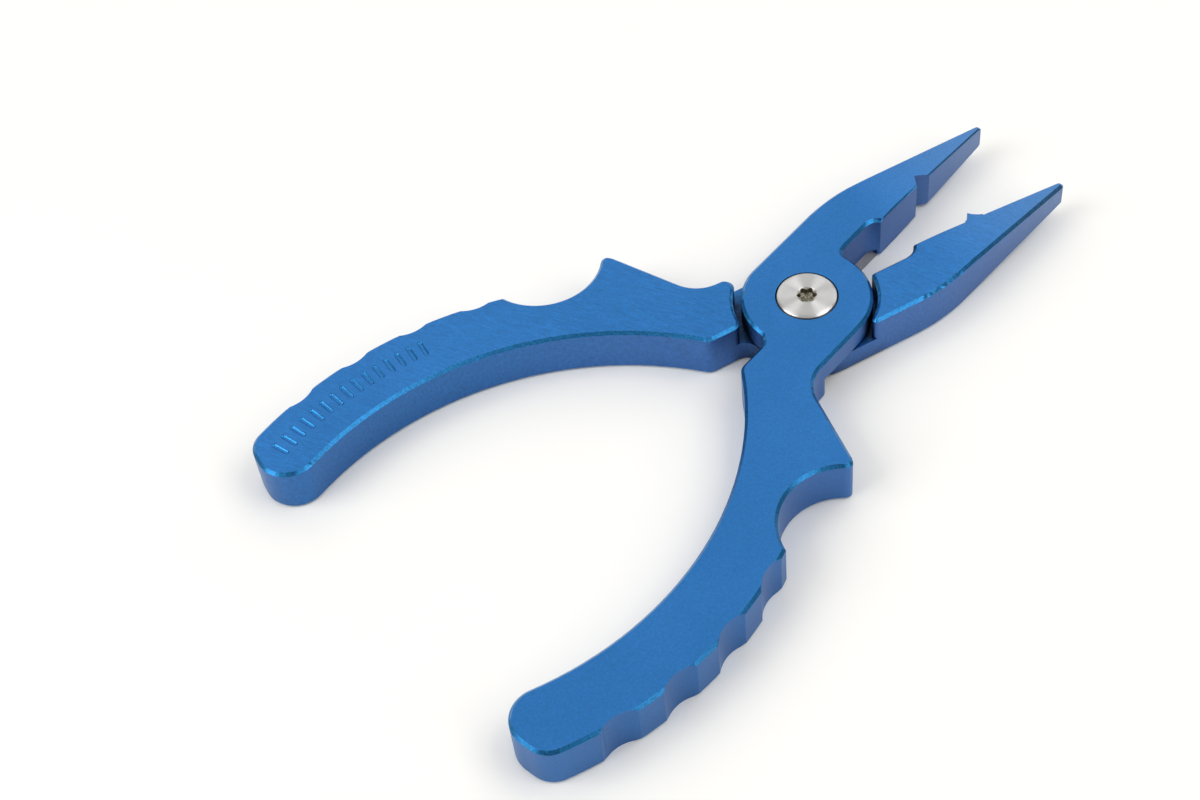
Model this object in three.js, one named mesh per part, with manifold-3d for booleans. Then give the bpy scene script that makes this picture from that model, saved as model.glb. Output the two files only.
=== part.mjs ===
// Fishing pliers: two flat aluminium arms that cross in a half lap and turn on
// a low round pivot bolt, with a cutter plate let into the underside of each jaw.
// Millimetres, +Z up. The pivot axis is Z, +X points to the jaw tips, and the
// pliers lie on z = 0. Every arm outline is drawn in the closed position, with
// the arm's jaw on the +Y side of the centre line and its grip on the -Y side.

import * as THREE from 'three';
import { mergeVertices } from 'three/addons/utils/BufferGeometryUtils.js';
import Module from 'manifold-3d';

const wasm = await Module();
wasm.setup();

// Driving dimensions
const THICKNESS = 10.2;
const CHAMFER = 0.6;
const LAP_GAP = 0.3;
const OPEN_HALF = THREE.MathUtils.degToRad(10.3);

const BOSS_R = 12.8;
const JAW_SHOULDER_R = 13.7;
const GRIP_SHOULDER_R = 14.4;

const JAW_FACE_Y = 0.12;
const RECESS_Y = 1.85;
const RECESS_END_X = 24.9;
const JAW_BEND_X = 17;
const JAW_BEND_R = 42.6;
const JAW_SLOPE = THREE.MathUtils.degToRad(17.1);
const TIP_R = 0.87;
const TAPER_START_X = 30;
const TAPER_SLOPE = Math.tan(THREE.MathUtils.degToRad(4.5));

const GRIP_CENTRE = new THREE.Vector2(-70.5, 44.7);
const GRIP_INNER_R = 66.5;
const GRIP_OUTER_R = 80;
const GRIP_END_X = -107.8;
const END_INNER_R = 6.1;
const END_OUTER_R = 5.1;
const HEEL_Y = -0.6;
const BOSS_FILLET_R = 2;
const HEEL_FILLET_R = 3;
const HEEL_ROUNDING = 1.2;
const HEEL_CORNER_R = 2;
const NECK_CORNER_R = 1.9;
const RECESS_CORNER_R = 1;
const BACK_CORNER_R = 0.8;
const SCALLOP_R = 7;
const SCALLOP_DEPTH = 1.25;
const SCALLOP_ANGLES = [-79.4, -88.8, -98.2, -107.6];

const GUARD_HOLLOW_CENTRE = new THREE.Vector2(-38.8, -37.8);
const GUARD_HOLLOW_R = 12.3;
const GUARD_FILLET_R = 7.5;
const GUARD_FRONT_ANGLE = THREE.MathUtils.degToRad(61.1);
const GUARD_TIP_ROUNDING = 3.2;
const NECK_END_X = -12.6;

const HEAD_R = 5.85;
const HEAD_HEIGHT = 2.5;
const HEAD_PROUD = 0.4;
const HEAD_RIM_WIDTH = 1.1;
const HEAD_RIM_DROP = 0.4;
const SOCKET_R = 2;
const SOCKET_WAIST = 0.3;
const SOCKET_TURN = THREE.MathUtils.degToRad(-40);
const SOCKET_DEPTH = 1.3;
const SOCKET_SINK_R = 2.06;
const SOCKET_SINK_DEPTH = 0.16;
const BARREL_R = 4;
const BARREL_CLEARANCE = 0.1;
const SHANK_R = 2.4;
const FLANGE_HEIGHT = 2;
const COUNTERBORE_R = 6.15;
const COUNTERBORE_DEPTH = 2.8;
const HEAD_WASHER = 0.4;
const LAP_WASHER_R = 10;
const LAP_WASHER = 0.5;

const PLATE_THICKNESS = 1.4;
const PLATE_X0 = 15.2;
const PLATE_X1 = 24.4;
const PLATE_EDGE_Y = 0.6;
const PLATE_BACK_Y = 7.6;
const PLATE_CLEARANCE = 0.15;
const PLATE_SCREWS_X = [17.6, 22];
const PLATE_SCREW_Y = 4.8;
const SCREW_HEAD_R = 1.7;
const SCREW_SHANK_R = 0.9;
const SCREW_LENGTH = 4.2;

const MARK_COUNT = 15;
const MARK_RADIUS = 73.9;
const MARK_FIRST_ANGLE = -116;
const MARK_LAST_ANGLE = -89;
const MARK_LENGTH = 4.2;
const MARK_R = 0.6;
const MARK_DEPTH = 0.28;

const CURVE_SEGMENTS = 16;
const ROUND_SEGMENTS = 72;
const MIN_STEP = 0.2;
const FAR = 200;

// Solids: joined and cut as manifolds, shaped as three.js geometry

function solidFrom(geometry) {
  const bare = geometry.clone();
  bare.deleteAttribute('normal');
  bare.deleteAttribute('uv');
  const merged = mergeVertices(bare, 1e-5);
  return new wasm.Manifold(new wasm.Mesh({
    numProp: 3,
    vertProperties: new Float32Array(merged.attributes.position.array),
    triVerts: new Uint32Array(merged.index.array),
  }));
}

function geometryFrom(solid) {
  const mesh = solid.getMesh();
  const geometry = new THREE.BufferGeometry();
  geometry.setAttribute('position', new THREE.BufferAttribute(new Float32Array(mesh.vertProperties), 3));
  geometry.setIndex(new THREE.BufferAttribute(new Uint32Array(mesh.triVerts), 1));
  return geometry;
}

function moved(solid, matrix) {
  return solidFrom(geometryFrom(solid).applyMatrix4(matrix));
}

function box(x0, x1, y0, y1, z0, z1) {
  const geometry = new THREE.BoxGeometry(x1 - x0, y1 - y0, z1 - z0);
  return solidFrom(geometry.translate((x0 + x1) / 2, (y0 + y1) / 2, (z0 + z1) / 2));
}

// The outline as straight steps, none of them shorter than MIN_STEP.
function stepped(shape) {
  const kept = [];
  for (const point of shape.getPoints(CURVE_SEGMENTS)) {
    if (kept.length === 0 || point.distanceTo(kept[kept.length - 1]) > MIN_STEP) kept.push(point);
  }
  if (kept[kept.length - 1].distanceTo(kept[0]) < MIN_STEP) kept.pop();
  return new THREE.Shape(kept);
}

function prism(shape, z0, z1) {
  const options = { depth: z1 - z0, bevelEnabled: false };
  return solidFrom(new THREE.ExtrudeGeometry(stepped(shape), options).translate(0, 0, z0));
}

// A plate of the full thickness with every outline edge chamfered on both faces.
function chamferedPlate(shape) {
  const options = {
    depth: THICKNESS - 2 * CHAMFER,
    bevelThickness: CHAMFER,
    bevelSize: CHAMFER,
    bevelOffset: -CHAMFER,
    bevelSegments: 1,
  };
  return solidFrom(new THREE.ExtrudeGeometry(stepped(shape), options).translate(0, 0, CHAMFER));
}

// A solid of revolution about the Z axis through (x, y), from [radius, z] points.
function turned(profile, x = 0, y = 0, segments = ROUND_SEGMENTS) {
  const points = profile.map(([radius, z]) => new THREE.Vector2(radius, z));
  const geometry = new THREE.LatheGeometry(points, segments);
  return solidFrom(geometry.rotateX(Math.PI / 2).translate(x, y, 0));
}

function disc(radius, z0, z1, x = 0, y = 0, segments = ROUND_SEGMENTS) {
  return turned([[0, z0], [radius, z0], [radius, z1], [0, z1]], x, y, segments);
}

function ring(inner, outer, z0, z1) {
  return turned([[inner, z0], [outer, z0], [outer, z1], [inner, z1], [inner, z0]]);
}

function polar(centre, radius, angle) {
  return new THREE.Vector2(centre.x + radius * Math.cos(angle), centre.y + radius * Math.sin(angle));
}

// Outline helpers. Every arm outline runs anticlockwise.

// Centre of an end corner that touches the grip's end line and one of its arcs.
function endCorner(cornerR, distance) {
  const dx = GRIP_END_X + cornerR - GRIP_CENTRE.x;
  const dy = -Math.sqrt(distance * distance - dx * dx);
  return new THREE.Vector2(dx, dy).add(GRIP_CENTRE);
}

// Centre of a corner that touches a line y = lineY and a circle about the pivot.
// side is +1 towards the jaws and -1 towards the grips.
function pivotCorner(circleR, lineY, towards, cornerR, side) {
  const y = lineY + towards * cornerR;
  return new THREE.Vector2(side * Math.sqrt((circleR + cornerR) ** 2 - y * y), y);
}

// Where the grip's outer arc runs into the finger-guard hollow.
function hollowStart() {
  const between = GUARD_HOLLOW_CENTRE.clone().sub(GRIP_CENTRE);
  const gap = between.length();
  const along = (gap * gap + GRIP_OUTER_R ** 2 - GUARD_HOLLOW_R ** 2) / (2 * gap);
  return polar(GRIP_CENTRE, GRIP_OUTER_R, between.angle() - Math.acos(along / GRIP_OUTER_R));
}

// Where the guard's straight front, followed from its top, runs into the hollow.
function guardTip(frontTop, alongFront) {
  const offset = frontTop.clone().sub(GUARD_HOLLOW_CENTRE);
  const half = offset.dot(alongFront);
  const reach = half - Math.sqrt(half * half - offset.lengthSq() + GUARD_HOLLOW_R ** 2);
  return frontTop.clone().addScaledVector(alongFront, -reach);
}

function angleOf(point, centre) {
  return point.clone().sub(centre).angle();
}

// The jaw: recess beside the pivot, clamping face, rounded tip, and the back
// that bends down to the tip.
function drawJaw(path) {
  const faceY = JAW_FACE_Y - CHAMFER / 2;
  const bend = new THREE.Vector2(JAW_BEND_X, BOSS_R - JAW_BEND_R);
  const bendEnd = polar(bend, JAW_BEND_R, Math.PI / 2 - JAW_SLOPE);
  const tipY = faceY + TIP_R;
  const tipX = bendEnd.x + (bendEnd.y - tipY - TIP_R / Math.cos(JAW_SLOPE)) / Math.tan(JAW_SLOPE);
  path.lineTo(RECESS_END_X - 3.4, RECESS_Y);
  path.quadraticCurveTo(RECESS_END_X - 0.7, RECESS_Y, RECESS_END_X, faceY);
  path.absarc(tipX, tipY, TIP_R, -Math.PI / 2, Math.PI / 2 - JAW_SLOPE, false);
  path.absarc(bend.x, bend.y, JAW_BEND_R, Math.PI / 2 - JAW_SLOPE, Math.PI / 2, false);
}

// The grip, from the heel to the neck: rounded heel, inner arc, rounded end, outer arc,
// finger-guard hollow, guard tip, guard front and the fillet into the neck.
function drawGrip(path) {
  const heelAngle = Math.asin((HEEL_Y - GRIP_CENTRE.y) / GRIP_INNER_R);
  const heelStart = heelAngle - HEEL_ROUNDING / GRIP_INNER_R;
  const heelCorner = polar(GRIP_CENTRE, GRIP_INNER_R, heelAngle);
  const heelEnd = polar(GRIP_CENTRE, GRIP_INNER_R, heelStart);
  const inner = endCorner(END_INNER_R, GRIP_INNER_R + END_INNER_R);
  const outer = endCorner(END_OUTER_R, GRIP_OUTER_R - END_OUTER_R);
  const innerAngle = angleOf(inner, GRIP_CENTRE);
  const outerAngle = angleOf(outer, GRIP_CENTRE);
  const crest = hollowStart();
  const fillet = new THREE.Vector2(NECK_END_X, -BOSS_R - GUARD_FILLET_R);
  const filletAngle = Math.PI / 2 + GUARD_FRONT_ANGLE;
  const alongFront = new THREE.Vector2(Math.cos(GUARD_FRONT_ANGLE), Math.sin(GUARD_FRONT_ANGLE));
  const tip = guardTip(polar(fillet, GUARD_FILLET_R, filletAngle), alongFront);
  const frontEnd = tip.clone().addScaledVector(alongFront, GUARD_TIP_ROUNDING);
  const hollowEnd = angleOf(tip, GUARD_HOLLOW_CENTRE) + GUARD_TIP_ROUNDING / GUARD_HOLLOW_R;
  path.lineTo(heelCorner.x + HEEL_ROUNDING, HEEL_Y);
  path.quadraticCurveTo(heelCorner.x, heelCorner.y, heelEnd.x, heelEnd.y);
  path.absarc(GRIP_CENTRE.x, GRIP_CENTRE.y, GRIP_INNER_R, heelStart, innerAngle, true);
  path.absarc(inner.x, inner.y, END_INNER_R, innerAngle + Math.PI, Math.PI, false);
  path.absarc(outer.x, outer.y, END_OUTER_R, Math.PI, outerAngle, false);
  path.absarc(GRIP_CENTRE.x, GRIP_CENTRE.y, GRIP_OUTER_R, outerAngle, angleOf(crest, GRIP_CENTRE), false);
  path.absarc(GUARD_HOLLOW_CENTRE.x, GUARD_HOLLOW_CENTRE.y, GUARD_HOLLOW_R,
    angleOf(crest, GUARD_HOLLOW_CENTRE), hollowEnd, true);
  path.quadraticCurveTo(tip.x, tip.y, frontEnd.x, frontEnd.y);
  path.absarc(fillet.x, fillet.y, GUARD_FILLET_R, filletAngle, Math.PI / 2, true);
}

// The whole arm seen from above: jaw, round boss on the pivot, and grip.
function armOutline() {
  const recess = pivotCorner(BOSS_R, RECESS_Y, -1, BOSS_FILLET_R, 1);
  const heel = pivotCorner(BOSS_R, HEEL_Y, 1, HEEL_FILLET_R, -1);
  const shape = new THREE.Shape();
  shape.moveTo(recess.x, RECESS_Y);
  drawJaw(shape);
  shape.absarc(0, 0, BOSS_R, Math.PI / 2, heel.angle(), false);
  shape.absarc(heel.x, heel.y, HEEL_FILLET_R, heel.angle() + Math.PI, -Math.PI / 2, true);
  drawGrip(shape);
  shape.absarc(0, 0, BOSS_R, -Math.PI / 2, recess.angle(), false);
  shape.absarc(recess.x, recess.y, BOSS_FILLET_R, recess.angle() + Math.PI, Math.PI / 2, true);
  return shape;
}

// The jaw alone, ending in the shoulder that clears the other arm's boss.
function jawOutline() {
  const recess = pivotCorner(JAW_SHOULDER_R, RECESS_Y, 1, RECESS_CORNER_R, 1);
  const back = pivotCorner(JAW_SHOULDER_R, BOSS_R, -1, BACK_CORNER_R, 1);
  const shape = new THREE.Shape();
  shape.moveTo(recess.x, RECESS_Y);
  drawJaw(shape);
  shape.absarc(back.x, back.y, BACK_CORNER_R, Math.PI / 2, back.angle() + Math.PI, false);
  shape.absarc(0, 0, JAW_SHOULDER_R, back.angle(), recess.angle(), true);
  shape.absarc(recess.x, recess.y, RECESS_CORNER_R, recess.angle() + Math.PI, -Math.PI / 2, false);
  return shape;
}

// The grip alone, ending in the shoulder that clears the other arm's boss.
function gripOutline() {
  const heel = pivotCorner(GRIP_SHOULDER_R, HEEL_Y, -1, HEEL_CORNER_R, -1);
  const neck = pivotCorner(GRIP_SHOULDER_R, -BOSS_R, 1, NECK_CORNER_R, -1);
  const shape = new THREE.Shape();
  shape.moveTo(heel.x, HEEL_Y);
  drawGrip(shape);
  shape.absarc(neck.x, neck.y, NECK_CORNER_R, -Math.PI / 2, neck.angle() + Math.PI, false);
  shape.absarc(0, 0, GRIP_SHOULDER_R, neck.angle(), heel.angle(), true);
  shape.absarc(heel.x, heel.y, HEEL_CORNER_R, heel.angle() + Math.PI, Math.PI / 2, false);
  return shape;
}

// Tooth on one clamping face and the notch it drops into on the other.

function addTooth(jaw) {
  const shape = new THREE.Shape();
  shape.moveTo(37.2, JAW_FACE_Y + 1);
  shape.lineTo(37.2, JAW_FACE_Y);
  shape.quadraticCurveTo(38.4, -0.25, 38.9, -1.65);
  shape.quadraticCurveTo(39.7, -0.55, 41.4, JAW_FACE_Y);
  shape.lineTo(41.4, JAW_FACE_Y + 1);
  return jaw.add(prism(shape, 0, THICKNESS));
}

function cutNotch(jaw) {
  const shape = new THREE.Shape();
  shape.moveTo(36.7, -1);
  shape.lineTo(37.3, JAW_FACE_Y);
  shape.lineTo(39.2, 2.1);
  shape.quadraticCurveTo(39.7, 2.5, 40, 1.8);
  shape.lineTo(41.7, JAW_FACE_Y);
  shape.lineTo(42.5, -1);
  return jaw.subtract(prism(shape, -1, THICKNESS + 1));
}

// Thins the jaw evenly from both faces towards its tip, chamfers and all.
function taperNose(jaw) {
  const front = box(TAPER_START_X, FAR, -FAR, FAR, -FAR, FAR);
  const nose = jaw.intersect(front);
  const tapered = moved(nose, taperShear(-TAPER_SLOPE)).intersect(moved(nose, taperShear(TAPER_SLOPE)));
  return jaw.subtract(front).add(tapered);
}

// Moves each point up by slope times its distance past the start of the taper.
function taperShear(slope) {
  return new THREE.Matrix4().set(
    1, 0, 0, 0,
    0, 1, 0, 0,
    slope, 0, 1, -slope * TAPER_START_X,
    0, 0, 0, 1,
  );
}

function cutScallops(arm) {
  const distance = GRIP_OUTER_R + SCALLOP_R - SCALLOP_DEPTH;
  let cut = arm;
  for (const degrees of SCALLOP_ANGLES) {
    const centre = polar(GRIP_CENTRE, distance, THREE.MathUtils.degToRad(degrees));
    cut = cut.subtract(disc(SCALLOP_R, -1, THICKNESS + 1, centre.x, centre.y));
  }
  return cut;
}

// One closed arm, lying the way up that puts its boss in the upper layer.
function armBlank(finishMouth) {
  const lap = THICKNESS / 2 + LAP_GAP / 2;
  const below = box(-FAR, FAR, -FAR, FAR, -FAR, lap);
  const above = box(-FAR, FAR, -FAR, FAR, lap + 0.5, FAR);
  const whole = chamferedPlate(armOutline()).subtract(below);
  const jaw = chamferedPlate(jawOutline()).subtract(above);
  const grip = chamferedPlate(gripOutline()).subtract(above);
  const face = box(RECESS_END_X - 0.5, FAR, -FAR, JAW_FACE_Y, -FAR, FAR);
  const blank = whole.add(jaw).add(grip).subtract(face);
  return cutScallops(taperNose(finishMouth(blank)));
}

// Underside pocket for the jaw's cutter plate, with its two screw holes.
function cutPlatePocket(arm, side) {
  const pocket = prism(plateOutline(side, PLATE_CLEARANCE), -1, PLATE_THICKNESS + PLATE_CLEARANCE);
  let cut = arm.subtract(pocket);
  for (const x of PLATE_SCREWS_X) {
    cut = cut.subtract(disc(SCREW_SHANK_R + 0.2, 0, SCREW_LENGTH + 0.3, x, side * PLATE_SCREW_Y, 32));
  }
  return cut;
}

function plateOutline(side, margin) {
  const corner = 1.2;
  const x0 = PLATE_X0 - margin;
  const x1 = PLATE_X1 + margin;
  const back = PLATE_BACK_Y + margin;
  const shape = new THREE.Shape();
  shape.moveTo(x0, side * (PLATE_EDGE_Y - margin));
  shape.lineTo(x1, side * (PLATE_EDGE_Y - margin));
  shape.lineTo(x1, side * (back - corner));
  shape.quadraticCurveTo(x1, side * back, x1 - corner, side * back);
  shape.lineTo(x0 + corner, side * back);
  shape.quadraticCurveTo(x0, side * back, x0, side * (back - corner));
  return shape;
}

// Turns a closed-position solid or geometry about the pivot to the rest position.
function opened(geometry, side) {
  return geometry.rotateZ(side * OPEN_HALF);
}

// Sub-parts

function armTop() {
  const washerSeat = disc(LAP_WASHER_R + 0.2, 0, THICKNESS / 2 + LAP_GAP / 2 + 0.25);
  const counterbore = disc(COUNTERBORE_R, THICKNESS - COUNTERBORE_DEPTH, THICKNESS + 1);
  const bore = disc(BARREL_R + BARREL_CLEARANCE, -1, THICKNESS + 1);
  const arm = armBlank(cutNotch).subtract(washerSeat).subtract(counterbore).subtract(bore);
  return opened(geometryFrom(cutPlatePocket(arm, 1)), 1);
}

function armBottom() {
  const turnOver = new THREE.Matrix4().makeRotationX(Math.PI).setPosition(0, 0, THICKNESS);
  const washerSeat = disc(LAP_WASHER_R + 0.2, THICKNESS / 2 - LAP_GAP / 2 - 0.25, THICKNESS);
  const counterbore = disc(COUNTERBORE_R, -1, FLANGE_HEIGHT + 0.2);
  const bore = disc(BARREL_R + BARREL_CLEARANCE, -1, THICKNESS + 1);
  const arm = moved(armBlank(addTooth), turnOver)
    .subtract(washerSeat).subtract(counterbore).subtract(bore).subtract(gripMarks());
  return opened(geometryFrom(cutPlatePocket(arm, -1)), -1);
}

// A plain row of short round-bottomed grooves across the grip's upper face.
function gripMarks() {
  const step = (MARK_LAST_ANGLE - MARK_FIRST_ANGLE) / (MARK_COUNT - 1);
  let marks = null;
  for (let i = 0; i < MARK_COUNT; i += 1) {
    const angle = THREE.MathUtils.degToRad(-MARK_FIRST_ANGLE - i * step);
    const groove = new THREE.CapsuleGeometry(MARK_R, MARK_LENGTH - 2 * MARK_R, 5, 20)
      .rotateZ(Math.PI / 2)
      .translate(MARK_RADIUS, 0, THICKNESS + MARK_R - MARK_DEPTH)
      .rotateZ(angle)
      .translate(GRIP_CENTRE.x, -GRIP_CENTRE.y, 0);
    marks = marks ? marks.add(solidFrom(groove)) : solidFrom(groove);
  }
  return marks;
}

function pivotBolt() {
  const top = THICKNESS + HEAD_PROUD;
  const under = top - HEAD_HEIGHT;
  const rimSteps = 6;
  const rim = [];
  for (let i = 0; i <= rimSteps; i += 1) {
    const angle = (i / rimSteps) * (Math.PI / 2);
    rim.push([HEAD_R - HEAD_RIM_WIDTH * (1 - Math.cos(angle)), top - HEAD_RIM_DROP * (1 - Math.sin(angle))]);
  }
  const body = turned([
    [0, FLANGE_HEIGHT - 0.7], [SHANK_R - 0.4, FLANGE_HEIGHT - 0.7], [SHANK_R, FLANGE_HEIGHT - 0.3],
    [SHANK_R, under], [HEAD_R, under], ...rim, [0, top],
  ]);
  const socket = prism(sixLobes(SOCKET_R, SOCKET_TURN), top - SOCKET_DEPTH, top + 1);
  const sinkFloorR = SOCKET_SINK_R - 2 * SOCKET_SINK_DEPTH;
  const sink = turned([
    [0, top - SOCKET_SINK_DEPTH], [sinkFloorR, top - SOCKET_SINK_DEPTH], [SOCKET_SINK_R, top],
    [SOCKET_SINK_R, top + 1], [0, top + 1],
  ]);
  return geometryFrom(body.subtract(socket).subtract(sink));
}

// A six-lobe socket outline, the waist between its lobes SOCKET_WAIST of the radius deep.
function sixLobes(radius, turn) {
  const shape = new THREE.Shape();
  const steps = 72;
  for (let i = 0; i < steps; i += 1) {
    const angle = turn + (i / steps) * 2 * Math.PI;
    const r = radius * (1 - SOCKET_WAIST * (1 - Math.cos(6 * (angle - turn))) / 2);
    const point = new THREE.Vector2(r * Math.cos(angle), r * Math.sin(angle));
    if (i === 0) shape.moveTo(point.x, point.y);
    else shape.lineTo(point.x, point.y);
  }
  return shape;
}

// Flush round nut: flange below, barrel up through both arms, two spanner holes.
function pivotNut() {
  const barrelTop = THICKNESS + HEAD_PROUD - HEAD_HEIGHT - 0.1;
  const thread = SHANK_R + 0.1;
  let nut = turned([
    [0, 0], [HEAD_R - 0.3, 0], [HEAD_R, 0.3], [HEAD_R, FLANGE_HEIGHT], [BARREL_R, FLANGE_HEIGHT],
    [BARREL_R, barrelTop], [thread, barrelTop], [thread, FLANGE_HEIGHT - 1], [0, FLANGE_HEIGHT - 1],
  ]);
  for (const x of [-3.6, 3.6]) {
    nut = nut.subtract(disc(0.7, -1, 0.7, x, 0, 32));
  }
  return geometryFrom(nut);
}

function headWasher() {
  const top = THICKNESS + HEAD_PROUD - HEAD_HEIGHT - 0.1;
  return geometryFrom(ring(BARREL_R + 0.15, HEAD_R - 0.1, top - HEAD_WASHER, top));
}

function lapWasher() {
  const middle = THICKNESS / 2;
  return geometryFrom(ring(BARREL_R + 0.15, LAP_WASHER_R, middle - LAP_WASHER / 2, middle + LAP_WASHER / 2));
}

// Flat steel plate, ground to an edge along the centre line, with two
// countersunk holes open to the underside.
function cutterPlate(side) {
  let plate = prism(plateOutline(side, 0), 0.05, PLATE_THICKNESS);
  const grind = new THREE.Shape();
  grind.moveTo(PLATE_EDGE_Y - 1, 0.25);
  grind.lineTo(PLATE_EDGE_Y, 0.25);
  grind.lineTo(PLATE_EDGE_Y + 1.6, PLATE_THICKNESS + 0.2);
  grind.lineTo(PLATE_EDGE_Y - 1, PLATE_THICKNESS + 0.2);
  const wedge = new THREE.ExtrudeGeometry(grind, { depth: 20, bevelEnabled: false });
  wedge.rotateX(Math.PI / 2).rotateZ(Math.PI / 2).translate(PLATE_X0 - 5, 0, 0);
  if (side < 0) wedge.rotateZ(Math.PI).translate(2 * PLATE_X0 + 10, 0, 0);
  plate = plate.subtract(solidFrom(wedge));
  for (const x of PLATE_SCREWS_X) {
    plate = plate.subtract(screwSolid(x, side * PLATE_SCREW_Y, 0.1));
  }
  return opened(geometryFrom(plate), side);
}

// Countersunk screw pointing up; margin grows it into the hole it passes through.
function screwSolid(x, y, margin) {
  const head = SCREW_HEAD_R + margin;
  const shank = SCREW_SHANK_R + margin;
  const low = margin > 0 ? -0.5 : 0.1;
  const sink = 0.1 + SCREW_HEAD_R - SCREW_SHANK_R;
  return turned([[0, low], [head, low], [head, 0.15], [shank, sink + 0.05], [shank, SCREW_LENGTH], [0, SCREW_LENGTH]],
    x, y, 32);
}

function cutterScrew(x, side) {
  const y = side * PLATE_SCREW_Y;
  const socket = prism(sixLobes(0.8, 0), -0.5, 0.7);
  const placed = moved(socket, new THREE.Matrix4().makeTranslation(x, y, 0));
  return opened(geometryFrom(screwSolid(x, y, 0).subtract(placed)), side);
}

// Materials

function material(color, roughness, metalness) {
  return new THREE.MeshStandardMaterial({ color, roughness, metalness });
}

function anodised() {
  return material(0x2467ad, 0.38, 0.9);
}

function stainless() {
  return material(0xc9c8c4, 0.3, 1);
}

function toolSteel() {
  return material(0x63636b, 0.42, 1);
}

function bronze() {
  return material(0x8c6a3f, 0.45, 1);
}

function node(name, geometry, finish) {
  const flat = geometry.toNonIndexed();
  flat.computeVertexNormals();
  const mesh = new THREE.Mesh(flat, finish);
  mesh.name = name;
  return mesh;
}

const pliers = new THREE.Group();
pliers.name = 'fishing_pliers';
pliers.add(
  node('arm_top', armTop(), anodised()),
  node('arm_bottom', armBottom(), anodised()),
  node('pivot_bolt', pivotBolt(), stainless()),
  node('pivot_nut', pivotNut(), stainless()),
  node('head_washer', headWasher(), bronze()),
  node('lap_washer', lapWasher(), bronze()),
  node('cutter_plate_top', cutterPlate(1), toolSteel()),
  node('cutter_plate_bottom', cutterPlate(-1), toolSteel()),
  node('cutter_screw_top_rear', cutterScrew(PLATE_SCREWS_X[0], 1), stainless()),
  node('cutter_screw_top_front', cutterScrew(PLATE_SCREWS_X[1], 1), stainless()),
  node('cutter_screw_bottom_rear', cutterScrew(PLATE_SCREWS_X[0], -1), stainless()),
  node('cutter_screw_bottom_front', cutterScrew(PLATE_SCREWS_X[1], -1), stainless()),
);

export default pliers;
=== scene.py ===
"""Fishing pliers lying open on a white table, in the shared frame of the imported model.

Every visible piece is the CAD solid of its node, given smooth sides and, on the
small pieces, finely rounded edges, with a procedural metal on it. The arms' edges
come out sharp: see EDGE_ROUNDING. Metres, +Z up, pivot axis on Z.
"""
import math

import bmesh
import bpy
from mathutils import Matrix, Vector


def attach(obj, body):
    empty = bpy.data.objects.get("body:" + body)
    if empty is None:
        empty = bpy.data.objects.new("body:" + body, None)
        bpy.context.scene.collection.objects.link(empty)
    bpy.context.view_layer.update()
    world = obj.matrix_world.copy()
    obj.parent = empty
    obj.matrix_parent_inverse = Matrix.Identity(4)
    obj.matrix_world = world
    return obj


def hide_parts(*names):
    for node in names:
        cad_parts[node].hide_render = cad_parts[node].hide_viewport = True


MM = 0.001

# Camera
CAMERA_PLACE = (-0.18398, -0.19888, 0.31439)
CAMERA_AZIMUTH = -33.77
CAMERA_ELEVATION = 50.769
CAMERA_ROLL = -7.357
CAMERA_LENS = 62.59

# The soft bend where each jaw starts to thin
OPEN_HALF = math.radians(10.3)
ARM_SIDES = {"arm_top": 1, "arm_bottom": -1}
BEND_X = 30 * MM
BEND_REACH = 4 * MM
BEND_STEPS = 8
BEND_SLOPE = math.tan(math.radians(4.5))
MID_HEIGHT = 5.1 * MM

# Mesh finish. Only the washers, the nut and the lower cutter plate get the whole rounding.
# clamp_overlap cuts it to about half on the screws and to roughly a third on the bolt and the
# upper cutter plate. On the arms it leaves none, only slivers, because of very short edges.
WELD = 0.0005 * MM
FLAT_LIMIT = math.radians(0.2)
EDGE_ROUNDING = 0.05 * MM
SHARP_EDGE = math.radians(24)
SMOOTH_LIMIT = math.radians(40)
LEVEL = 0.999995

# Directions of the brushed grain, about Z
GRAIN_BOTTOM = math.radians(-64)
GRAIN_TOP = math.radians(-43)
GRIND_CUTTER = math.radians(80)
GRIND_SCREW = 0.0

# Anodised blues
LEVEL_DARK = (0.024, 0.184, 0.512, 1)
LEVEL_LIGHT = (0.028, 0.198, 0.546, 1)
LEVEL_NOSE = (0.115, 0.26, 0.52, 1)
SIDE_GRIP = (0.028, 0.152, 0.42, 1)
SIDE_JAW = (0.054, 0.160, 0.43, 1)
SIDE_NOSE = (0.200, 0.280, 0.46, 1)
CHAMFER_BLUE = (0.018, 0.200, 0.480, 1)
CHAMFER_NOSE = (0.100, 0.230, 0.450, 1)
# Near-black blue, painted as shade into the narrow gaps round the half lap
LAP_GAP_SHADE = (0.004, 0.010, 0.028, 1)

# Other metals and the floor
BOLT_STEEL = (0.75, 0.745, 0.73, 1)
NUT_STEEL = (0.62, 0.615, 0.60, 1)
BRONZE = (0.42, 0.27, 0.12, 1)
CUTTER_STEEL = (0.36, 0.35, 0.37, 1)
SCREW_STEEL = (0.55, 0.55, 0.54, 1)
STAIN_DARK = (0.16, 0.14, 0.09, 1)
STAIN_LIGHT = (0.50, 0.47, 0.39, 1)
PAPER = (0.95, 0.937, 0.902, 1)


# Mesh

def ease_bend(bm, side):
    """Turns the crease where the jaw starts to thin into a long soft bend."""
    along = Vector((math.cos(side * OPEN_HALF), math.sin(side * OPEN_HALF), 0.0))
    for i in range(BEND_STEPS + 1):
        start = BEND_X - BEND_REACH + 2 * BEND_REACH * i / BEND_STEPS
        everything = bm.verts[:] + bm.edges[:] + bm.faces[:]
        bmesh.ops.bisect_plane(bm, geom=everything, dist=1e-8, plane_co=along * start, plane_no=along)
    for vert in bm.verts:
        offset = abs(vert.co.dot(along) - BEND_X)
        if offset < BEND_REACH:
            drop = BEND_SLOPE * (BEND_REACH - offset) ** 2 / (4 * BEND_REACH)
            vert.co.z += -drop if vert.co.z > MID_HEIGHT else drop


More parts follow.
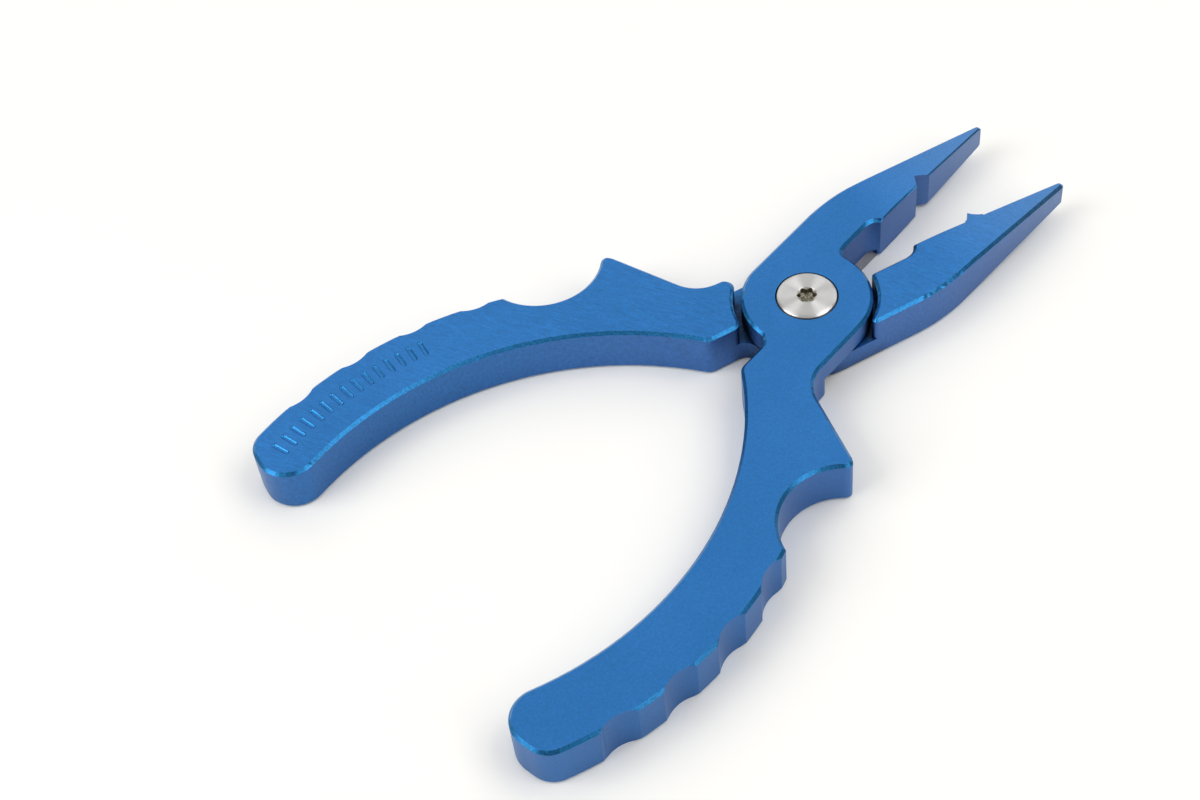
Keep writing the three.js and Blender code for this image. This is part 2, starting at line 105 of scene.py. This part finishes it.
def refined(node):
    """A copy of a CAD node with flat faces merged, sides smooth and edges rounded where they can be."""
    bm = bmesh.new()
    bm.from_mesh(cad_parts[node].data)
    bmesh.ops.remove_doubles(bm, verts=bm.verts, dist=WELD)
    bmesh.ops.dissolve_limit(
        bm, angle_limit=FLAT_LIMIT, verts=bm.verts, edges=bm.edges, delimit={"NORMAL"}
    )
    if node in ARM_SIDES:
        ease_bend(bm, ARM_SIDES[node])
    sharp = [e for e in bm.edges if len(e.link_faces) == 2 and e.calc_face_angle() > SHARP_EDGE]
    bmesh.ops.bevel(
        bm, geom=sharp, offset=EDGE_ROUNDING, offset_type="OFFSET", segments=2, profile=0.6,
        affect="EDGES", clamp_overlap=True,
    )
    for face in bm.faces:
        face.smooth = abs(face.normal.z) < LEVEL
    for edge in bm.edges:
        edge.smooth = len(edge.link_faces) == 2 and edge.calc_face_angle() < SMOOTH_LIMIT
    mesh = bpy.data.meshes.new(node + "_fine")
    bm.to_mesh(mesh)
    bm.free()
    piece = bpy.data.objects.new(node + "_fine", mesh)
    bpy.context.scene.collection.objects.link(piece)
    weighted = piece.modifiers.new("flat_faces", "WEIGHTED_NORMAL")
    weighted.keep_sharp = True
    weighted.weight = 100
    return piece


def place(node, body, slot, material):
    """Puts the refined copy of a node, in its metal, on its body in place of the node."""
    piece = refined(node)
    piece.data.materials.append(material)
    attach(piece, body)
    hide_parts(node)


# Material building blocks

class Graph:
    """Short calls for adding nodes to one material."""

    def __init__(self, name):
        self.material = bpy.data.materials.new(name)
        self.material.use_nodes = True
        self.tree = self.material.node_tree
        self.bsdf = self.tree.nodes["Principled BSDF"]

    def add(self, kind, inputs=(), **settings):
        node = self.tree.nodes.new(kind)
        for key, value in settings.items():
            setattr(node, key, value)
        for key, value in dict(inputs).items():
            self.feed(node.inputs[key], value)
        return node

    def feed(self, socket, value):
        if isinstance(value, bpy.types.NodeSocket):
            self.tree.links.new(value, socket)
        else:
            socket.default_value = value

    def math(self, operation, a, b=0.0, c=0.0, clamp=False):
        node = self.add("ShaderNodeMath", {0: a, 1: b, 2: c}, operation=operation, use_clamp=clamp)
        return node.outputs[0]

    def ramp(self, value, low, high, to_low=0.0, to_high=1.0):
        """value carried smoothly from low..high to to_low..to_high, held at both ends."""
        inputs = {"Value": value, "From Min": low, "From Max": high, "To Min": to_low, "To Max": to_high}
        return self.add("ShaderNodeMapRange", inputs, interpolation_type="SMOOTHSTEP").outputs[0]

    def mix(self, factor, a, b):
        """Colour a where factor is 0, colour b where it is 1."""
        node = self.add("ShaderNodeMix", data_type="RGBA")
        for index, value in ((0, factor), (6, a), (7, b)):
            self.feed(node.inputs[index], value)
        return node.outputs[2]

    def place_mm(self, angle=0.0):
        """The point's place on the piece in millimetres, turned so X runs along angle."""
        place = self.add("ShaderNodeTexCoord").outputs["Object"]
        turn = {"Vector": place, "Angle": -angle}
        turned = self.add("ShaderNodeVectorRotate", turn, rotation_type="Z_AXIS")
        scaled = self.add("ShaderNodeVectorMath", {0: turned.outputs[0]}, operation="SCALE")
        scaled.inputs["Scale"].default_value = 1 / MM
        return scaled.outputs[0]

    def stretched(self, vector, x, y, z):
        return self.add("ShaderNodeVectorMath", {0: vector, 1: (x, y, z)}, operation="MULTIPLY").outputs[0]

    def noise(self, vector, scale=1.0, detail=2.0, roughness=0.5):
        inputs = {"Vector": vector, "Scale": scale, "Detail": detail, "Roughness": roughness}
        return self.add("ShaderNodeTexNoise", inputs).outputs["Fac"]

    def facing_up(self):
        """0 on upright faces, 1 on level ones."""
        normal = self.add("ShaderNodeNewGeometry").outputs["True Normal"]
        z = self.add("ShaderNodeSeparateXYZ", {0: normal}).outputs["Z"]
        return self.math("ABSOLUTE", z)

    def from_axis(self, place):
        """The vector from the pivot axis straight out to a point, and its length."""
        xyz = self.add("ShaderNodeSeparateXYZ", {0: place}).outputs
        outward = self.add("ShaderNodeCombineXYZ", {"X": xyz["X"], "Y": xyz["Y"]}).outputs[0]
        radius = self.add("ShaderNodeVectorMath", {0: outward}, operation="LENGTH").outputs["Value"]
        return outward, radius

    def painted_lap_shade(self, place, radius):
        """Painted shade in the narrow gaps round the half lap, darkest where ambient occlusion finds them
        closed in and broken into patches; 0 on open metal.
        """
        open_sky = self.add("ShaderNodeAmbientOcclusion", {"Distance": 7 * MM}, samples=8).outputs["AO"]
        hidden = self.ramp(open_sky, 0.25, 0.78, 1.0, 0.0)
        patchy = self.ramp(self.noise(place, 1.3, 3.0), 0.25, 0.6, 0.75, 1.0)
        near_lap = self.ramp(radius, 14.6, 17.5, 0.97, 0.0)
        return self.math("MULTIPLY", self.math("MULTIPLY", hidden, patchy), near_lap)

    def bump(self, height, distance_mm, strength=1.0, normal=None):
        inputs = {"Height": height, "Distance": distance_mm * MM, "Strength": strength}
        if normal is not None:
            inputs["Normal"] = normal
        return self.add("ShaderNodeBump", inputs).outputs[0]

    def world_direction(self, vector):
        node = self.add(
            "ShaderNodeVectorTransform", {"Vector": vector}, vector_type="VECTOR",
            convert_from="OBJECT", convert_to="WORLD",
        )
        return node.outputs[0]

    def finish(self, **inputs):
        for key, value in inputs.items():
            self.feed(self.bsdf.inputs[key.replace("_", " ")], value)
        return self.material


def dimmed(colour, factor):
    return tuple(factor * channel for channel in colour[:3]) + (1,)


# Materials

def anodised(name, grain_angle, streaks):
    """Blue anodised aluminium: brushed level faces, sparkling chamfers, greyer milled sides, and painted
    shade in the gaps round the lap.
    """
    g = Graph(name)
    place = g.place_mm()
    along = g.place_mm(grain_angle)
    up = g.facing_up()
    level = g.ramp(up, 0.9, 0.985)
    side = g.ramp(up, 0.45, 0.2)
    chamfer = g.math("SUBTRACT", g.math("SUBTRACT", 1.0, level, clamp=True), side, clamp=True)
    x = g.add("ShaderNodeSeparateXYZ", {0: place}).outputs["X"]
    radius = g.from_axis(place)[1]

    streak = g.noise(g.stretched(along, 0.35, 2.6, 1.0), 1.0, 3.0, 0.65)
    grit = g.noise(place, 2.3, 3.0, 0.7)
    cloud = g.noise(place, 0.06, 2.0, 0.5)
    nose = g.ramp(x, 24.0, 60.0, 0.0, 0.55)

    blue = g.mix(g.ramp(cloud, 0.3, 0.7), LEVEL_DARK, LEVEL_LIGHT)
    blue = g.mix(g.math("MULTIPLY", nose, level), blue, LEVEL_NOSE)
    milled = g.mix(g.ramp(x, -70.0, 0.0), SIDE_GRIP, SIDE_JAW)
    blue = g.mix(g.math("MULTIPLY", side, 0.9), blue, milled)
    blue = g.mix(g.math("MULTIPLY", side, nose), blue, SIDE_NOSE)
    blue = g.mix(chamfer, blue, CHAMFER_BLUE)
    blue = g.mix(g.math("MULTIPLY", chamfer, nose), blue, CHAMFER_NOSE)
    # Painted shade: the gaps round the half lap are darkened towards near-black blue where ambient
    # occlusion finds them closed in
    blue = g.mix(g.painted_lap_shade(place, radius), blue, LAP_GAP_SHADE)
    shade = g.math("MULTIPLY_ADD", g.math("SUBTRACT", streak, 0.5), streaks, 1.0)
    speckle = g.math("MULTIPLY_ADD", chamfer, 1.2, 0.55)
    shade = g.math("MULTIPLY_ADD", g.math("SUBTRACT", grit, 0.5), speckle, shade)
    colour = g.add("ShaderNodeVectorMath", {0: blue}, operation="SCALE")
    g.feed(colour.inputs["Scale"], shade)

    rough = g.math("MULTIPLY_ADD", streak, 0.08, 0.31)
    rough = g.math("MULTIPLY_ADD", side, 0.12, rough)
    rough = g.math("MULTIPLY_ADD", chamfer, -0.05, rough)
    height = g.math("MULTIPLY", streak, g.math("MULTIPLY_ADD", level, streaks, 0.05))
    normal = g.bump(height, 0.02, 0.5)
    sparkle = g.math("MULTIPLY", grit, g.math("MULTIPLY_ADD", chamfer, 1.0, 0.35))
    normal = g.bump(sparkle, 0.04, 0.8, normal)
    across = g.world_direction((-math.sin(grain_angle), math.cos(grain_angle), 0.0))
    return g.finish(
        Base_Color=colour.outputs[0], Metallic=0.94, Roughness=rough, Normal=normal,
        Anisotropic=0.3, Tangent=across, Coat_Weight=0.25, Coat_Roughness=0.3,
    )


def turned_steel(name, colour, roughness, socket=False):
    """Metal faced on a lathe, with fine rings about the pivot axis, and a stained socket if asked."""
    g = Graph(name)
    place = g.place_mm()
    outward, radius = g.from_axis(place)
    rings = g.noise(g.add("ShaderNodeCombineXYZ", {"X": g.math("MULTIPLY", radius, 10.0)}).outputs[0])
    haze = g.noise(place, 0.7, 2.0)
    steel = g.mix(haze, colour, dimmed(colour, 0.88))
    rough = g.math("MULTIPLY_ADD", rings, 0.12, roughness)
    if socket:
        z = g.add("ShaderNodeSeparateXYZ", {0: place}).outputs["Z"]
        inside = g.math("MULTIPLY", g.math("LESS_THAN", radius, 2.1), g.ramp(z, 10.35, 10.6, 1.0, 0.0))
        stain = g.ramp(g.noise(place, 3.0, 3.0), 0.35, 0.65)
        steel = g.mix(inside, steel, g.mix(stain, STAIN_DARK, STAIN_LIGHT))
        rough = g.math("MULTIPLY_ADD", inside, 0.15, rough)
    return g.finish(
        Base_Color=steel, Metallic=1.0, Roughness=rough, Normal=g.bump(rings, 0.002, 0.3),
        Anisotropic=0.97, Tangent=g.world_direction(outward),
    )


def ground_steel(name, colour, roughness, angle):
    """Tool steel surface-ground in one direction."""
    g = Graph(name)
    along = g.place_mm(angle)
    lines = g.noise(g.stretched(along, 0.4, 9.0, 1.0), 1.0, 3.0, 0.6)
    haze = g.noise(g.place_mm(), 0.5, 3.0)
    steel = g.mix(haze, colour, dimmed(colour, 0.75))
    return g.finish(
        Base_Color=steel, Metallic=1.0, Roughness=g.math("MULTIPLY_ADD", lines, 0.2, roughness),
        Normal=g.bump(lines, 0.008, 0.6), Anisotropic=0.5,
        Tangent=g.world_direction((math.cos(angle), math.sin(angle), 0.0)),
    )


def floor_paper():
    """White studio paper."""
    g = Graph("floor_paper")
    tooth = g.noise(g.place_mm(), 0.8, 3.0)
    return g.finish(Base_Color=PAPER, Roughness=0.9, Normal=g.bump(tooth, 0.02, 0.2))


# Studio

def add_floor():
    bpy.ops.mesh.primitive_plane_add(size=12.0, location=(0, 0, 0))
    floor = bpy.context.object
    floor.name = "studio_floor"
    floor.data.materials.append(floor_paper())


def add_panel(name, azimuth, elevation, distance, width, height, radiance):
    """A rectangular soft panel facing the pivot; radiance is how bright its face looks."""
    a, e = math.radians(azimuth), math.radians(elevation)
    direction = Vector((math.cos(a) * math.cos(e), math.sin(a) * math.cos(e), math.sin(e)))
    light = bpy.data.lights.new(name, "AREA")
    light.shape = "RECTANGLE"
    light.size = width
    light.size_y = height
    light.energy = radiance * math.pi * width * height
    panel = bpy.data.objects.new(name, light)
    panel.location = direction * distance
    panel.rotation_mode = "QUATERNION"
    panel.rotation_quaternion = direction.to_track_quat("Z", "Y")
    bpy.context.scene.collection.objects.link(panel)


def add_world(strength):
    world = bpy.data.worlds.new("studio")
    world.use_nodes = True
    background = world.node_tree.nodes["Background"]
    background.inputs["Color"].default_value = (1, 1, 1, 1)
    background.inputs["Strength"].default_value = strength
    bpy.context.scene.world = world


def add_camera():
    a, e = math.radians(CAMERA_AZIMUTH), math.radians(CAMERA_ELEVATION)
    back = Vector((math.sin(a) * math.cos(e), -math.cos(a) * math.cos(e), math.sin(e)))
    camera = bpy.data.cameras.new("camera")
    camera.lens = CAMERA_LENS
    camera.sensor_width = 36.0
    camera.clip_start, camera.clip_end = 0.01, 50.0
    rig = bpy.data.objects.new("camera", camera)
    rig.rotation_mode = "QUATERNION"
    turn = back.to_track_quat("Z", "Y").to_matrix() @ Matrix.Rotation(math.radians(CAMERA_ROLL), 3, "Z")
    rig.rotation_quaternion = turn.to_quaternion()
    rig.location = CAMERA_PLACE
    bpy.context.scene.collection.objects.link(rig)
    bpy.context.scene.camera = rig


def add_studio():
    """A key from the left, a fill from the right, a front softbox and a pale room round them."""
    add_floor()
    add_world(0.22)
    add_panel("key", 161, 37, 0.85, 0.60, 0.60, 2.9)
    add_panel("fill", 317, 58, 0.85, 0.50, 0.50, 2.5)
    add_panel("front", -75, 33, 0.65, 0.34, 0.26, 1.9)
    for azimuth in (0, 40, 80):
        add_panel("back_wall", azimuth, 28, 0.85, 0.50, 0.50, 0.86)
    for azimuth in (17, 77, 137, 197, 257):
        add_panel("ceiling", azimuth, 58, 0.85, 0.50, 0.50, 0.59)
    bpy.context.scene.view_settings.view_transform = "Standard"
    bpy.context.scene.view_settings.look = "None"


# The object

def add_pliers():
    bolt = turned_steel("bolt_steel", BOLT_STEEL, 0.28, socket=True)
    nut = turned_steel("nut_steel", NUT_STEEL, 0.24)
    bronze = turned_steel("washer_bronze", BRONZE, 0.3)
    cutter = ground_steel("cutter_steel", CUTTER_STEEL, 0.28, GRIND_CUTTER)
    screw = ground_steel("screw_steel", SCREW_STEEL, 0.25, GRIND_SCREW)
    blue_top = anodised("anodised_top", GRAIN_TOP, 0.12)
    blue_bottom = anodised("anodised_bottom", GRAIN_BOTTOM, 0.65)
    place("arm_top", "top_arm", "anodised_top", blue_top)
    place("arm_bottom", "bottom_arm", "anodised_bottom", blue_bottom)
    place("pivot_bolt", "bottom_arm", "bolt_steel", bolt)
    place("pivot_nut", "bottom_arm", "nut_steel", nut)
    place("head_washer", "bottom_arm", "washer_bronze", bronze)
    place("lap_washer", "bottom_arm", "washer_bronze", bronze)
    for arm in ("top", "bottom"):
        place("cutter_plate_" + arm, arm + "_arm", "cutter_steel", cutter)
        for end in ("rear", "front"):
            place(f"cutter_screw_{arm}_{end}", arm + "_arm", "screw_steel", screw)


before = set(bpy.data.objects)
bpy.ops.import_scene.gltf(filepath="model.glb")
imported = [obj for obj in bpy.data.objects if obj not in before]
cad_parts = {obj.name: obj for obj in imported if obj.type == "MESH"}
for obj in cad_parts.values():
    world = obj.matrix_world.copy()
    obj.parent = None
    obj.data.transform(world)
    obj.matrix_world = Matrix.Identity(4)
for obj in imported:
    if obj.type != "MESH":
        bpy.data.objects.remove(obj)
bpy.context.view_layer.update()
add_camera()
add_studio()
add_pliers()
